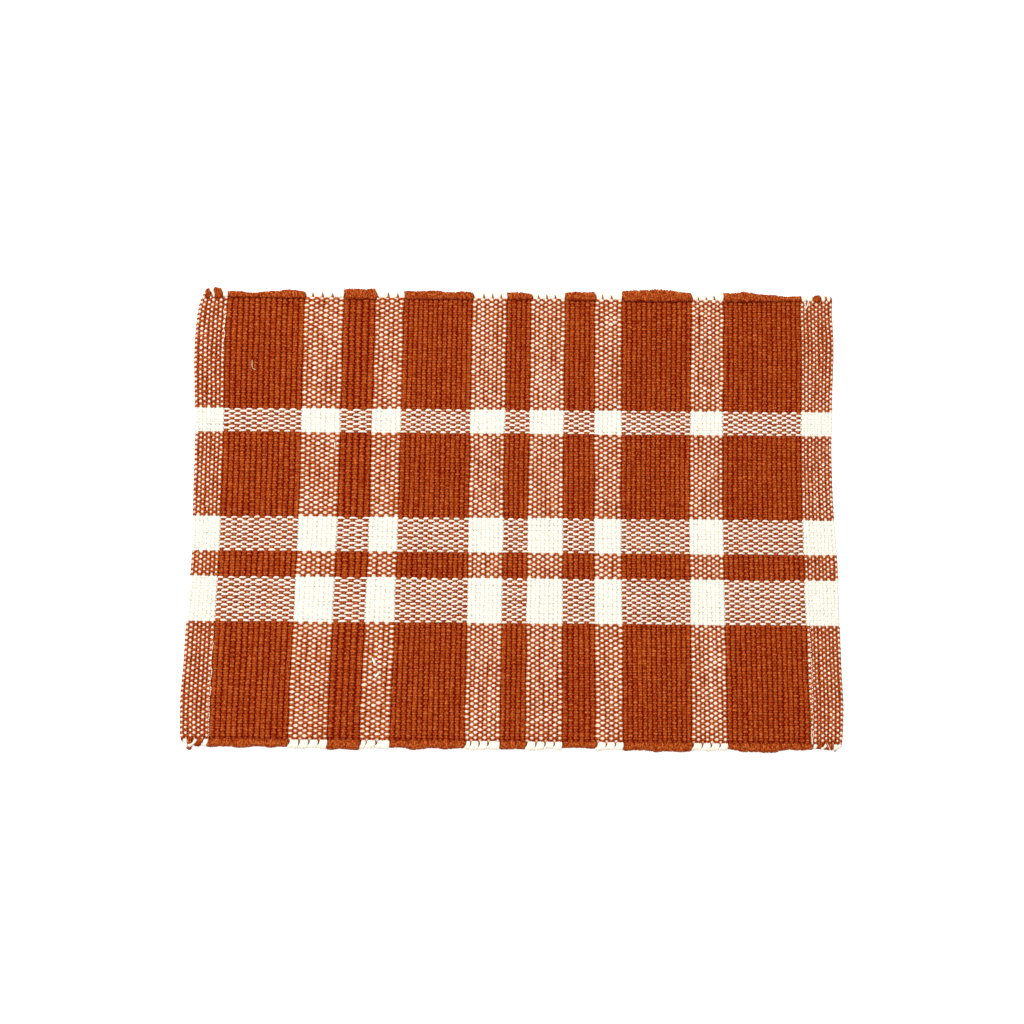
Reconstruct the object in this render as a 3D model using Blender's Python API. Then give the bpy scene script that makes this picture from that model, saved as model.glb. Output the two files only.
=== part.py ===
"""A woven cotton placemat that lies flat, with a plaid of rust and white.

It is one cloth.  The thick warp yarns are ribs that run from the far edge to
the near edge, and at both of those edges the warp ends are turned back into a
thicker roll.  The weft yarns turn round at the sides, so those edges are thin.

X runs along the width, Y away from the diner and Z up.  The origin is the
middle of the cloth's box, on the surface that it lies on.
"""
from collections import namedtuple

import bmesh
import bpy
import numpy as np

MM = 0.001
ROUNDING = 1e-6

# Driving dimensions, in metres
WIDTH = 0.4745          # between the side edges, on average
DEPTH = 0.3445          # between the outsides of the two rolled edges, on average
CREST_HEIGHT = 0.0030   # the cloth's thickness on a rib
VALLEY_HEIGHT = 0.0022  # the same between two ribs
SELVEDGE_HEIGHT = 0.0014
ROLL_HEIGHT = 0.0040
ROLL_LIP_HEIGHT = 0.0022
FAR_ROLL = 0.0053       # width of the rolled warp ends, far side and near side
NEAR_ROLL = 0.0053
ROLL_CREST = 0.55       # how far out the roll is highest, as a share of its width
ROLL_LUMP = 0.0004      # how much the rolls' outlines wander within a stripe
ROLL_LUMP_LENGTH = 0.021
ROLL_LUMP_PHASE = {"far": 1.0, "near": 2.6}

# How the cloth lies: its wefts climb a little to the right, its stripes bow
# away from the middle, and its corners are rounded
WEFT_SLOPE = 0.0035
BOW = 0.0009
BOW_REACH = 0.160
SWAY_REACH = 0.016      # how far in from the side edges their waves are felt
CORNERS = {             # radii
    ("left", "far"): 0.007,
    ("right", "far"): 0.003,
    ("left", "near"): 0.009,
    ("right", "near"): 0.006,
}

# The warp, from the left edge.  A stripe's left side leans by `lean` towards
# +X at the far edge; its rolls stand out by `far` and `near` (millimetres)
Stripe = namedtuple("Stripe", "yarn warps width lean far near")
STRIPES = (
    Stripe("white", 7, 21.5, 0.0, 0.9, 0.3),
    Stripe("rust", 14, 57.6, -0.9, -1.2, 0.0),
    Stripe("white", 8, 28.5, -0.2, 0.7, 0.6),
    Stripe("rust", 5, 23.6, 1.6, 1.1, 1.0),
    Stripe("white", 6, 21.3, 2.2, 0.9, 0.9),
    Stripe("rust", 14, 52.3, 2.3, -0.5, 0.0),
    Stripe("white", 8, 25.3, 0.0, 0.9, 0.9),
    Stripe("rust", 5, 18.3, 1.0, -0.7, 0.1),
    Stripe("white", 8, 25.5, 1.2, 0.6, 0.4),
    Stripe("rust", 6, 23.3, 0.2, -0.1, -1.1),
    Stripe("white", 6, 19.8, -1.4, 0.7, 0.2),
    Stripe("rust", 14, 50.5, -0.8, 1.6, 0.4),
    Stripe("white", 8, 24.6, 2.7, 0.7, 0.4),
    Stripe("rust", 16, 58.4, 1.3, -0.6, -0.6),
    Stripe("white", 9, 24.0, 0.1, 0.5, -0.4),
)

# The weft, from the far roll to the near one (millimetres)
Band = namedtuple("Band", "yarn picks depth")
BANDS = (
    Band("rust", 46, 87.2),
    Band("white", 10, 18.5),
    Band("rust", 34, 64.0),
    Band("white", 14, 26.2),
    Band("rust", 10, 18.9),
    Band("white", 18, 33.5),
    Band("rust", 46, 85.7),
)

# How far the side edges stand out from their average line (millimetres)
Sway = namedtuple("Sway", "y left right")
SWAYS = (
    Sway(-173, -3.6, -2.6),
    Sway(-164, -1.9, -0.8),
    Sway(-152, -0.9, 0.2),
    Sway(-138, -0.4, 0.9),
    Sway(-115, -0.9, 0.5),
    Sway(-90, -0.9, 0.5),
    Sway(-60, -1.3, 0.6),
    Sway(-35, -1.9, 0.6),
    Sway(0, -0.9, -0.8),
    Sway(30, -0.3, -1.7),
    Sway(50, -0.4, -1.9),
    Sway(70, 0.2, -1.4),
    Sway(90, 1.4, -0.9),
    Sway(108, 2.3, -0.3),
    Sway(125, 2.8, 0.6),
    Sway(145, 2.2, 0.2),
    Sway(160, 1.0, -0.2),
    Sway(170, -0.6, 0.3),
)

COLOURS = {             # linear colour, roughness
    "rust": ((0.319, 0.041, 0.007), 0.92),
    "white": ((0.930, 0.905, 0.850), 0.90),
    "mixed": ((0.560, 0.310, 0.230), 0.91),
}

END_BAND_STEPS = 3      # rows of points in the long first and last bands, where the sides wave most


def curve_through(knots, values, at):
    """A smooth curve through the knots of a short table, read at one place or more."""
    knots = np.asarray(knots, float)
    values = np.asarray(values, float)
    slopes = np.gradient(values, knots)
    at = np.clip(at, knots[0], knots[-1])
    low = np.clip(np.searchsorted(knots, at) - 1, 0, len(knots) - 2)
    span = knots[low + 1] - knots[low]
    t = (at - knots[low]) / span
    start = (1 + 2 * t) * (1 - t) ** 2 * values[low] + t * (1 - t) ** 2 * span * slopes[low]
    end = t * t * (3 - 2 * t) * values[low + 1] + t * t * (t - 1) * span * slopes[low + 1]
    return start + end


def stripe_sides():
    """X of the stripes' left sides and of the right edge, before the cloth is swayed."""
    widths = np.array([stripe.width for stripe in STRIPES])
    return WIDTH * (np.concatenate([[0.0], np.cumsum(widths)]) / widths.sum() - 0.5)


def warp_lines():
    """One row for each line along the warp, valley and crest in turn.

    Its columns are X, lean, far and near, in metres, then 1 on a crest or 0 in
    a valley, and the number of the stripe.
    """
    sides = stripe_sides()
    leans = [stripe.lean * MM for stripe in STRIPES] + [0.0]
    lines = []
    for number, stripe in enumerate(STRIPES):
        for half in range(2 * stripe.warps):
            share = half / (2 * stripe.warps)
            x = sides[number] + share * (sides[number + 1] - sides[number])
            lean = leans[number] + share * (leans[number + 1] - leans[number])
            lines.append((x, lean, stripe.far * MM, stripe.near * MM, half % 2, number))
    lines.append((sides[-1], 0.0, stripe.far * MM, stripe.near * MM, 0, number))
    return np.array(lines)


def band_sides():
    """Y of the bands' sides, from the far roll to the near one."""
    depths = np.array([band.depth for band in BANDS])
    shares = np.concatenate([[0.0], np.cumsum(depths)]) / depths.sum()
    return DEPTH / 2 - FAR_ROLL - shares * (DEPTH - FAR_ROLL - NEAR_ROLL)


def row_places():
    """The rows of points from the near edge to the far one: Y, what lies there, and the yarn beyond."""
    sides = band_sides()
    near = -DEPTH / 2
    far = DEPTH / 2
    rows = [(near, "lip", None), (near + NEAR_ROLL * (1 - ROLL_CREST), "roll", None)]
    for number, band in reversed(list(enumerate(BANDS))):
        steps = END_BAND_STEPS if number in (0, len(BANDS) - 1) else 1
        for step in range(steps):
            y = sides[number + 1] + step / steps * (sides[number] - sides[number + 1])
            rows.append((y, "weave", band.yarn))
    rows.append((sides[0], "weave", None))
    rows.append((far - FAR_ROLL * (1 - ROLL_CREST), "roll", None))
    rows.append((far, "lip", None))
    return rows


def side_sway(x, y):
    """How far a point is carried sideways by the waves of the side edges."""
    knots = [sway.y * MM for sway in SWAYS]
    left = curve_through(knots, [sway.left * MM for sway in SWAYS], y)
    right = curve_through(knots, [sway.right * MM for sway in SWAYS], y)
    from_left = x + WIDTH / 2
    from_right = WIDTH / 2 - x
    return right * np.exp(-from_right / SWAY_REACH) - left * np.exp(-from_left / SWAY_REACH)


def corner_cut(x, end):
    """How much a rounded corner takes off the end of the warp at x."""
    cut = 0.0
    for side, inset in (("left", x + WIDTH / 2), ("right", WIDTH / 2 - x)):
        radius = CORNERS[side, end]
        inset = np.clip(inset, 0.0, radius)
        cut += radius - np.sqrt(radius ** 2 - (radius - inset) ** 2)
    return cut


def roll_reach(line, end):
    """How far the rolled edge stands out from its average place on one warp line."""
    x, _, far, near, _, _ = line
    stand = far if end == "far" else near
    lump = ROLL_LUMP * np.sin(2 * np.pi * x / ROLL_LUMP_LENGTH + ROLL_LUMP_PHASE[end])
    return stand + lump - corner_cut(x, end)


def surface_point(line, row):
    """The point of the upper face on one warp line and one row."""
    x0, lean, _, _, crest, _ = line
    y0, kind, _ = row
    end = "far" if y0 > 0 else "near"
    on_side_edge = abs(abs(x0) - WIDTH / 2) < ROUNDING
    heights = {
        "weave": VALLEY_HEIGHT + crest * (CREST_HEIGHT - VALLEY_HEIGHT),
        "roll": ROLL_HEIGHT - 0.5 * (1 - crest) * (CREST_HEIGHT - VALLEY_HEIGHT),
        "lip": ROLL_LIP_HEIGHT,
    }
    z = SELVEDGE_HEIGHT if on_side_edge else heights[kind]
    bow = -BOW * np.clip(x0 / BOW_REACH, -1, 1) * np.cos(2 * np.pi * y0 / DEPTH)
    x = x0 + lean * y0 / DEPTH + bow + side_sway(x0, y0)
    share = {"weave": 0.0, "roll": 0.5, "lip": 1.0}[kind]
    y = y0 + WEFT_SLOPE * x + np.sign(y0) * share * roll_reach(line, end)
    return np.array((x, y, z))


def cloth_materials():
    """A Principled material for each of the colours that the plaid shows."""
    materials = []
    for name, (colour, roughness) in COLOURS.items():
        material = bpy.data.materials.new(f"{name}_cotton")
        material.use_nodes = True
        shader = material.node_tree.nodes["Principled BSDF"]
        shader.inputs["Base Color"].default_value = (*colour, 1.0)
        shader.inputs["Roughness"].default_value = roughness
        shader.inputs["Metallic"].default_value = 0.0
        materials.append(material)
    return materials


def build_cloth(collection):
    """The whole cloth as one closed solid: a ribbed upper face over a flat underside."""
    lines = warp_lines()
    rows = row_places()
    across = len(lines) - 1
    along = len(rows) - 1

    points = np.array([[surface_point(line, row) for line in lines] for row in rows])
    low = points.reshape(-1, 3).min(axis=0)
    high = points.reshape(-1, 3).max(axis=0)
    points[..., :2] -= (low[:2] + high[:2]) / 2

    bm = bmesh.new()
    bmesh.ops.create_grid(bm, x_segments=across, y_segments=along, size=0.5)
    for vert in bm.verts:
        column = round((vert.co.x + 0.5) * across)
        row = round((vert.co.y + 0.5) * along)
        vert.co = points[row, column]
        vert.index = row * len(lines) + column

    yarns = list(COLOURS)
    for face in bm.faces:
        corner = min(vert.index for vert in face.verts)
        warp_yarn = STRIPES[int(lines[corner % len(lines), 5])].yarn
        weft_yarn = rows[corner // len(lines)][2] or warp_yarn
        face.material_index = yarns.index(warp_yarn if warp_yarn == weft_yarn else "mixed")
        face.smooth = True

    rim = [edge for edge in bm.edges if edge.is_boundary]
    skirt = bmesh.ops.extrude_edge_only(bm, edges=rim)["geom"]
    for vert in (item for item in skirt if isinstance(item, bmesh.types.BMVert)):
        vert.co.z = 0.0
    hem = [item for item in skirt if isinstance(item, bmesh.types.BMEdge) and item.is_boundary]
    bmesh.ops.edgeloop_fill(bm, edges=hem)
    bmesh.ops.triangulate(bm, faces=[face for face in bm.faces if len(face.verts) > 4])
    bmesh.ops.recalc_face_normals(bm, faces=bm.faces)

    mesh = bpy.data.meshes.new("woven_cloth")
    bm.to_mesh(mesh)
    bm.free()
    for material in cloth_materials():
        mesh.materials.append(material)
    cloth = bpy.data.objects.new("woven_cloth", mesh)
    collection.objects.link(cloth)
    return cloth


def main():
    for old in list(bpy.context.scene.objects):
        bpy.data.objects.remove(old, do_unlink=True)
    collection = bpy.data.collections.new("placemat")
    bpy.context.scene.collection.children.link(collection)
    build_cloth(collection)


main()
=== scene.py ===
"""A woven cotton placemat in a plaid of rust and white, laid flat on a pale floor.

Every yarn is a tube of its own: the picks of the weft and the ribs of the warp
pass over and under each other, the picks turn round at the side edges, and the
warp ends are folded back into the rolls along the far and near edges.

X runs along the width, Y away from the diner and Z up, in metres.
"""
from collections import namedtuple

import bpy
import numpy as np
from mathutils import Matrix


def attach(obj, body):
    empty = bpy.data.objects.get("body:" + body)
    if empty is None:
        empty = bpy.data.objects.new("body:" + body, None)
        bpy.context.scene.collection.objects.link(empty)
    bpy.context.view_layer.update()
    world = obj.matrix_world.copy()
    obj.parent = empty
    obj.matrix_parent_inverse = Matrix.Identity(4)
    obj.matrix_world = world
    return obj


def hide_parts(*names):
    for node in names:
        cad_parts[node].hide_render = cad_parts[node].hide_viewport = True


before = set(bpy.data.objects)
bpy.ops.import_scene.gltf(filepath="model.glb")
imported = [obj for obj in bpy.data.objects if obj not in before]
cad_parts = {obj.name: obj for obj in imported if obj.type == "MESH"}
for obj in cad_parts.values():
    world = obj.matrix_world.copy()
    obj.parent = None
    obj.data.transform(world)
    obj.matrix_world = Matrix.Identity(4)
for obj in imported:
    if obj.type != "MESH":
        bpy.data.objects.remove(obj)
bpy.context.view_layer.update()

MM = 0.001

# ---------------------------------------------------------------- the cloth's plan
# The same values as the solid's, in metres where no unit is given
WIDTH = 0.4745
DEPTH = 0.3445
ROLL_HEIGHT = 0.0040
FAR_ROLL = 0.0053
NEAR_ROLL = 0.0053
ROLL_CREST = 0.55
ROLL_LUMP = 0.0004
ROLL_LUMP_LENGTH = 0.021
ROLL_LUMP_PHASE = {"far": 1.0, "near": 2.6}
WEFT_SLOPE = 0.0035
BOW = 0.0009
BOW_REACH = 0.160
SWAY_REACH = 0.016
CORNERS = {
    ("left", "far"): 0.007,
    ("right", "far"): 0.003,
    ("left", "near"): 0.009,
    ("right", "near"): 0.006,
}

# From the left edge; widths, leans and stands are in millimetres
Stripe = namedtuple("Stripe", "yarn warps width lean far near")
STRIPES = (
    Stripe("white", 7, 21.5, 0.0, 0.9, 0.3),
    Stripe("rust", 14, 57.6, -0.9, -1.2, 0.0),
    Stripe("white", 8, 28.5, -0.2, 0.7, 0.6),
    Stripe("rust", 5, 23.6, 1.6, 1.1, 1.0),
    Stripe("white", 6, 21.3, 2.2, 0.9, 0.9),
    Stripe("rust", 14, 52.3, 2.3, -0.5, 0.0),
    Stripe("white", 8, 25.3, 0.0, 0.9, 0.9),
    Stripe("rust", 5, 18.3, 1.0, -0.7, 0.1),
    Stripe("white", 8, 25.5, 1.2, 0.6, 0.4),
    Stripe("rust", 6, 23.3, 0.2, -0.1, -1.1),
    Stripe("white", 6, 19.8, -1.4, 0.7, 0.2),
    Stripe("rust", 14, 50.5, -0.8, 1.6, 0.4),
    Stripe("white", 8, 24.6, 2.7, 0.7, 0.4),
    Stripe("rust", 16, 58.4, 1.3, -0.6, -0.6),
    Stripe("white", 9, 24.0, 0.1, 0.5, -0.4),
)

# From the far roll to the near one (millimetres)
Band = namedtuple("Band", "yarn picks depth")
BANDS = (
    Band("rust", 46, 87.2),
    Band("white", 10, 18.5),
    Band("rust", 34, 64.0),
    Band("white", 14, 26.2),
    Band("rust", 10, 18.9),
    Band("white", 18, 33.5),
    Band("rust", 46, 85.7),
)

# How far the side edges stand out from their average line (millimetres)
Sway = namedtuple("Sway", "y left right")
SWAYS = (
    Sway(-173, -3.6, -2.6),
    Sway(-164, -1.9, -0.8),
    Sway(-152, -0.9, 0.2),
    Sway(-138, -0.4, 0.9),
    Sway(-115, -0.9, 0.5),
    Sway(-90, -0.9, 0.5),
    Sway(-60, -1.3, 0.6),
    Sway(-35, -1.9, 0.6),
    Sway(0, -0.9, -0.8),
    Sway(30, -0.3, -1.7),
    Sway(50, -0.4, -1.9),
    Sway(70, 0.2, -1.4),
    Sway(90, 1.4, -0.9),
    Sway(108, 2.3, -0.3),
    Sway(125, 2.8, 0.6),
    Sway(145, 2.2, 0.2),
    Sway(160, 1.0, -0.2),
    Sway(170, -0.6, 0.3),
)
END_BAND_STEPS = 3

# The far left corner's yarns are drawn to the right, less and less over this reach
Reach = namedtuple("Reach", "x y")
FAR_LEFT_DRAW = 2.0 * MM
DRAW_REACH = Reach(6.0 * MM, 4.5 * MM)

# ---------------------------------------------------------------- the yarns
MIDDLE = 1.5 * MM           # height of the cloth's middle plane
WEFT_SWING = 0.58 * MM      # how far a yarn rises and dips from that plane
WARP_SWING = 0.42 * MM
# Sizes of a pick where it floats over a rib, and where it is pulled thin between two ribs,
# by the colour of the pick and the kind of the ribs; in millimetres, but `shoulder` is how
# far a float's shoulders lie from its middle, in ribs, and `drop` how deep the pick lies
# between the ribs, as a share of its swing
Float = namedtuple("Float", "half_width shoulder groove_half_height groove_half_width drop")
FLOATS = {
    ("rust", "rust"): Float(1.16, 0.26, 0.36, 0.52, 0.42),
    ("rust", "white"): Float(1.38, 0.28, 0.46, 0.84, 0.05),
    ("rust", "border"): Float(1.28, 0.33, 0.50, 0.90, 0.05),
    ("white", "rust"): Float(0.90, 0.30, 0.50, 0.82, -0.05),
    ("white", "white"): Float(1.20, 0.33, 0.64, 1.20, 0.00),
    ("white", "border"): Float(1.20, 0.33, 0.64, 1.20, 0.00),
}
WEFT_HALF_HEIGHT = 0.66 * MM
ARCH = 0.24 * MM            # how far a float's middle lies beyond its ends, away from the diner

# Sizes of a rib, by its kind and the colour of the picks, in millimetres
Rib = namedtuple("Rib", "half_height half_width")
RIBS = {
    ("rust", "rust"): Rib(0.68, 1.50),
    ("rust", "white"): Rib(0.78, 1.40),
    ("white", "rust"): Rib(0.80, 1.80),
    ("white", "white"): Rib(0.78, 1.74),
    ("border", "rust"): Rib(0.78, 1.37),
    ("border", "white"): Rib(0.78, 1.50),
}
SIDES = 5                   # of each yarn
USUAL_RIB = 3.54 * MM       # pitch of the ribs that the widths above are for
RIB_WIDENING = (0.70, 1.25)     # the least and the most that a rib's own pitch widens it
CLOSE_THINNING = 1.4        # the power of a rib's closeness that thins the floats over it
HEADING_PICKS = 1           # picks that the rolls hide, at each end
HEADING_DEPTH = 0.3 * MM    # of the ribs under the rolls, below the middle plane
LAST_PICKS_SINK = (0.40 * MM, 0.90 * MM)    # towards the near roll, which lies over them
TURN_HALF_HEIGHT = 0.62 * MM

# The felted fibres between the yarns
GROUND_DEPTH = 0.55 * MM    # below the middle plane
GROUND_REACH = 0.72         # how far they run on under a rolled end, as a share of its width
GROUND_INSET = 0.9          # from the side edges, in ribs
GROUND_COLUMNS = 68         # of its mesh, besides the stripes' sides
GROUND_ROWS = 37
GROUND_MARGIN = 0.01        # on its bake map

# How the yarns waver: by how much, and over how many crossings or rings
Waver = namedtuple("Waver", "seed size length")
RIB_WAVER = Waver(11, 0.20 * MM, 8)
PICK_WAVER = Waver(12, 0.16 * MM, 6)
WEFT_THICKNESS = Waver(25, 0.07, 14)
WARP_THICKNESS = Waver(32, 0.07, 12)
# How much single crossings or rings differ
Jitter = namedtuple("Jitter", "seed size")
WEFT_RISE = Jitter(21, 0.12)
WEFT_SHIFT = Jitter(23, 0.09 * MM)
WEFT_UNEVENNESS = Jitter(27, 0.08)
WARP_RISE = Jitter(31, 0.10)
WARP_UNEVENNESS = Jitter(33, 0.10)

# Where a pick turns round at a side edge, from the cloth outwards: `inset` in from the edge and
# `half_width` in millimetres, `share` of the way to the next pick, and `rise` as a share of the
# weft's swing
Turn = namedtuple("Turn", "inset share rise half_width")
TURNS = {
    "up": (Turn(1.50, 0.02, 0.95, 1.00), Turn(0.85, 0.14, 0.60, 0.98), Turn(0.70, 0.46, -0.10, 0.70)),
    "down": (Turn(1.50, 0.02, -0.95, 0.85), Turn(0.95, 0.20, -0.70, 0.75), Turn(0.80, 0.50, -0.20, 0.60)),
}

# The outline of a rolled end, from its crease with the cloth over the top and back below:
# its reach as a share of the roll's width, and its height as a share of the roll's
Point = namedtuple("Point", "out height")
ROLL_OUTLINE = (
    Point(-0.06, 0.50),
    Point(-0.26, 0.62),
    Point(-0.24, 0.79),
    Point(-0.06, 0.94),
    Point(0.32, 1.00),
    Point(0.66, 0.94),
    Point(0.84, 0.78),
    Point(0.97, 0.52),
    Point(1.00, 0.28),
    Point(0.90, 0.09),
    Point(0.60, 0.05),
    Point(0.25, 0.07),
)
ROLL_MIDDLE = Point(0.40, 0.50)
LOWEST_POINT = 0.02         # of a roll, as a share of its height
# How much less than that outline a roll laps over the cloth, as a share of its width
LAP_LESS = {
    ("rust", "far"): 0.0,
    ("rust", "near"): 0.20,
    ("white", "far"): 0.14,
    ("white", "near"): 0.22,
}
NOTCHES = {"far": 0.6, "near": 1.2}     # where the notches between lobes lie, past an even rib
STRIPE_NOTCH = 0.1          # the same where two stripes meet, past the stripe's side
LOBE_RIBS = 2               # the warps of two ribs make one lobe
LEAST_LOBE = 0.9            # ribs
LOBE_STEP = 0.34 * MM       # between the columns of a lobe's mesh
LEAST_COLUMNS = 7
STRAND_PITCH = 1.35 * MM
STRAND_RELIEF = 0.085       # as a share of the roll's size
STRAND_SLANT = 0.9          # how many strands the relief shifts from the crease outwards
STRAND_FADE = 0.5           # how the relief comes and goes,
STRAND_FADE_LENGTH = 4      # over how many columns
POINT_CHANCE = 0.02         # how much the sizes of a lobe's points, columns and reach differ
COLUMN_CHANCE = 0.05
REACH_CHANCE = 0.03
LOBE_SEEDS = {"far": 0, "near": 1000}
LOBE_MAP_COLUMNS = 12       # side by side on the bake map

# How a lobe is formed: its width at the root and at its tip as shares of its full width, the
# length of its rounded sides, and how far these shrink; then its sideways lean in ribs and its
# height as a share of the roll's, which the corners' lobes have of their own
Form = namedtuple("Form", "root tip rounding side_reach side_height lean height", defaults=(0.0, 1.0))
LOBE_FORMS = {
    ("rust", "far"): Form(1.00, 1.00, 1.2 * MM, 0.76, 0.80, -0.30, 1.0),
    ("rust", "near"): Form(1.00, 1.02, 1.4 * MM, 0.74, 0.80, -0.30, 1.0),
    ("white", "far"): Form(0.80, 1.20, 1.1 * MM, 0.88, 0.66, -0.30, 0.74),
    ("white", "near"): Form(0.84, 1.02, 1.3 * MM, 0.72, 0.72, -0.35, 0.90),
}
CORNER_FORM = Form(0.94, 0.96, 1.5 * MM, 0.62, 0.62)

# How far the rolled ends stand out beyond their stripes' usual line, in millimetres, at
# places counted in ribs
Wave = namedtuple("Wave", "rib far near")
WAVES = (
    Wave(0, 0.0, 0.0),
    Wave(8, 0.3, 0.0),
    Wave(14, 0.1, 0.1),
    Wave(17, 1.6, -0.4),
    Wave(21, 0.9, 0.2),
    Wave(30, 0.4, 0.2),
    Wave(34, 1.4, 0.0),
    Wave(41, 0.7, -0.3),
    Wave(44, 1.5, 0.4),
    Wave(50, 0.6, 0.1),
    Wave(63, 0.9, -0.1),
    Wave(67, 0.1, 0.3),
    Wave(76, 0.5, -0.2),
    Wave(80, 1.2, 0.3),
    Wave(88, 0.0, -0.2),
    Wave(92, 1.4, 0.1),
    Wave(97, 1.3, 0.6),
    Wave(100, -0.8, 0.1),
    Wave(110, 1.9, 0.0),
    Wave(115, 1.9, 1.5),
    Wave(118, 0.1, 0.7),
    Wave(121, -0.4, -0.5),
    Wave(125, -1.1, -0.8),
    Wave(134, -0.4, 0.0),
)

# The lobes of the two border stripes, whose rust and white warps mix: places in ribs,
# `lean` in ribs, and reach and height as shares of the roll's
CornerLobe = namedtuple("CornerLobe", "yarn first last lean reach height")
CORNER_LOBES = {
    ("left", "far"): (
        CornerLobe("rust", 0.9, 2.4, -0.3, 1.10, 1.0),
        CornerLobe("white", 2.4, 3.3, -1.1, 1.06, 0.9),
        CornerLobe("rust", 3.3, 5.6, -0.4, 1.14, 1.0),
        CornerLobe("white", 5.7, 7.1, 0.0, 0.96, 0.9),
    ),
    ("right", "far"): (
        CornerLobe("white", 125.2, 126.9, 0.1, 0.96, 0.9),
        CornerLobe("white", 126.8, 128.5, 0.1, 0.96, 0.9),
        CornerLobe("rust", 128.9, 130.7, -0.1, 1.02, 1.0),
        CornerLobe("white", 130.8, 131.9, -0.2, 1.00, 0.9),
        CornerLobe("white", 132.5, 133.5, 0.0, 0.96, 0.9),
        CornerLobe("rust", 133.5, 133.9, 0.0, 0.85, 0.9),
    ),
    ("left", "near"): (
        CornerLobe("rust", 0.4, 0.8, -0.2, 0.80, 0.9),
        CornerLobe("white", 0.8, 2.0, 0.3, 1.20, 1.0),
        CornerLobe("rust", 1.3, 3.0, 0.0, 1.45, 0.7),
        CornerLobe("white", 2.6, 3.6, -1.4, 1.20, 1.0),
        CornerLobe("rust", 3.7, 5.5, -0.6, 1.00, 1.0),
        CornerLobe("white", 5.5, 6.8, -0.5, 0.98, 1.0),
    ),
    ("right", "near"): (
        CornerLobe("white", 125.8, 127.0, -0.3, 0.86, 0.9),
        CornerLobe("rust", 127.0, 128.7, -0.1, 0.74, 1.0),
        CornerLobe("white", 128.4, 129.4, -0.9, 0.86, 1.0),
        CornerLobe("rust", 129.4, 131.5, -0.2, 0.84, 1.0),
        CornerLobe("white", 131.5, 132.8, 0.0, 0.98, 0.9),
        CornerLobe("rust", 131.6, 132.5, 0.0, 1.12, 0.6),
        CornerLobe("white", 132.8, 133.8, 0.1, 0.92, 0.9),
    ),
}

# Yarns and fibres that lie loose on the weave, slubs among them: from a place to a place in
# ribs and picks, and sizes in millimetres; `bob` is how far one rises and dips at every pick,
# and `sway` how far it wavers sideways
Place = namedtuple("Place", "rib pick")
Loose = namedtuple("Loose", "yarn first last half_width height bob sway")
LOOSE_YARNS = (
    Loose("white", Place(6.85, 134), Place(6.95, 178), 0.40, 2.05, 0.60, 0.35),
    Loose("white", Place(125.95, 130), Place(125.85, 177), 0.40, 2.05, 0.60, 0.30),
    Loose("white", Place(6.75, 1), Place(6.45, 30), 0.44, 2.15, 0.60, 0.60),
    Loose("white", Place(35.9, 146.0), Place(36.5, 148.6), 0.95, 2.70, 0.0, 0.1),
    Loose("white", Place(36.6, 153.6), Place(37.5, 151.6), 0.85, 2.70, 0.0, 0.1),
    Loose("white", Place(27.9, 60.0), Place(28.1, 63.0), 0.36, 2.90, 0.2, 0.3),
    Loose("white", Place(11.9, 26.4), Place(12.0, 30.0), 0.24, 3.00, 0.0, 0.1),
    Loose("white", Place(12.0, 30.0), Place(12.6, 30.6), 0.20, 3.00, 0.0, 0.0),
    Loose("white", Place(125.2, 172.0), Place(125.9, 179.5), 0.26, 3.30, 0.1, 0.2),
    Loose("white", Place(126.0, 173.0), Place(125.2, 180.0), 0.26, 3.30, 0.1, 0.2),
    Loose("white", Place(129.6, 177.5), Place(131.9, 183.6), 0.26, 4.00, 0.0, 0.1),
    Loose("rust", Place(129.0, 177.0), Place(130.4, 180.0), 0.26, 4.00, 0.0, 0.1),
    Loose("white", Place(125.5, -1.0), Place(126.8, 3.2), 0.45, 2.95, 0.2, 0.3),
    Loose("white", Place(127.5, -1.0), Place(126.2, 4.0), 0.45, 2.95, 0.2, 0.3),
)
LOOSE_STEP = 0.25           # picks from ring to ring
LEAST_RINGS = 5
LOOSE_FLATNESS = 0.7        # half height as a share of half width
LOOSE_TAPER = 0.6           # how much thinner the ends are
LOOSE_SEED = 41
LOOSE_SWAY_LENGTH = 7       # rings

# ---------------------------------------------------------------- floor, light and camera
FLOOR_SIZE = 8.0
FLOOR_GAP = 0.0002          # below the cloth
FLOOR_COLOUR = (0.93, 0.93, 0.92, 1.0)
FLOOR_GLOW = 0.30           # from below, as on a light table
STUDIO_COLOUR = (1.0, 1.0, 0.995, 1.0)
STUDIO_STRENGTH = 0.76
LAMP_SIZE = 2.2
LAMP_POWER = 106.0
LAMP_PLACE = (-0.95, 0.6, 2.75)
CAMERA_TILT = 13.5          # degrees off the vertical
CAMERA_TURN = 0.70          # degrees round it
CAMERA_DISTANCE = 1.4625
CAMERA_LENS = 69.96         # millimetres
CAMERA_SENSOR = 36.0
CAMERA_AIM = (-0.0009, 0.0022)     # on the loom's plan


def curve_through(knots, values, at):
    """A smooth curve through the knots of a short table, read at one place or more."""
    knots = np.asarray(knots, float)
    values = np.asarray(values, float)
    slopes = np.gradient(values, knots)
    at = np.clip(at, knots[0], knots[-1])
    low = np.clip(np.searchsorted(knots, at) - 1, 0, len(knots) - 2)
    span = knots[low + 1] - knots[low]
    t = (at - knots[low]) / span
    start = (1 + 2 * t) * (1 - t) ** 2 * values[low] + t * (1 - t) ** 2 * span * slopes[low]
    end = t * t * (3 - 2 * t) * values[low + 1] + t * t * (t - 1) * span * slopes[low + 1]
    return start + end


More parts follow.
